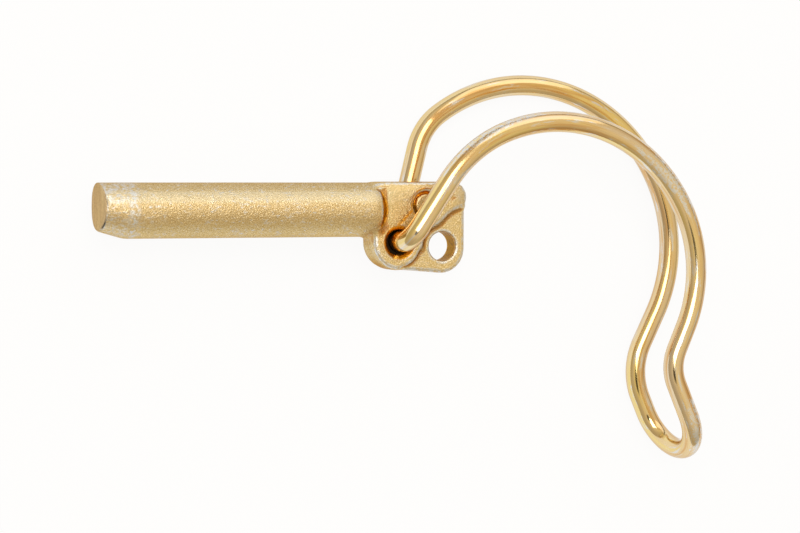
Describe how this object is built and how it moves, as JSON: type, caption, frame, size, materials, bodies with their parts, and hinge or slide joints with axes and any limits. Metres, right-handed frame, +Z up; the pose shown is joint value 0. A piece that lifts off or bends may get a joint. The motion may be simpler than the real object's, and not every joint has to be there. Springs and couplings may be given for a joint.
{
  "type": "lynch pin",
  "caption": "Shaft-locking lynch pin: a forged round pin with a flat offset head, and a round spring-wire bow that swings over the shaft and hooks past the nose.",
  "frame": {"origin": "on the shank's axis, where its plain round ends under the head", "axes": "+X along the shank's axis from the nose towards the head, +Y across the flat head towards the crown of the open bow, +Z square to the head's flat face, on the side of the near pivot; the pin lies on its side with +Z up"},
  "size_m": [0.0969, 0.0592, 0.0152],
  "materials": {
    "pin_zinc": "yellow-passivated zinc plate, satin and finely grained, rubbed to silver on the edges",
    "bow_zinc": "yellow-passivated zinc plate on drawn spring wire, glossy with fine lengthwise streaks"
  },
  "bodies": {
    "pin": {"pin": "pin_zinc"},
    "bow": {"bow": "bow_zinc"}
  },
  "joints": [
    {"name": "bow_swing", "type": "hinge", "parent": "pin", "child": "bow", "pos_m": [0.00421, -0.00464, 0], "axis": [0, 0, 1], "range_deg": [-155, 15]}
  ]
}
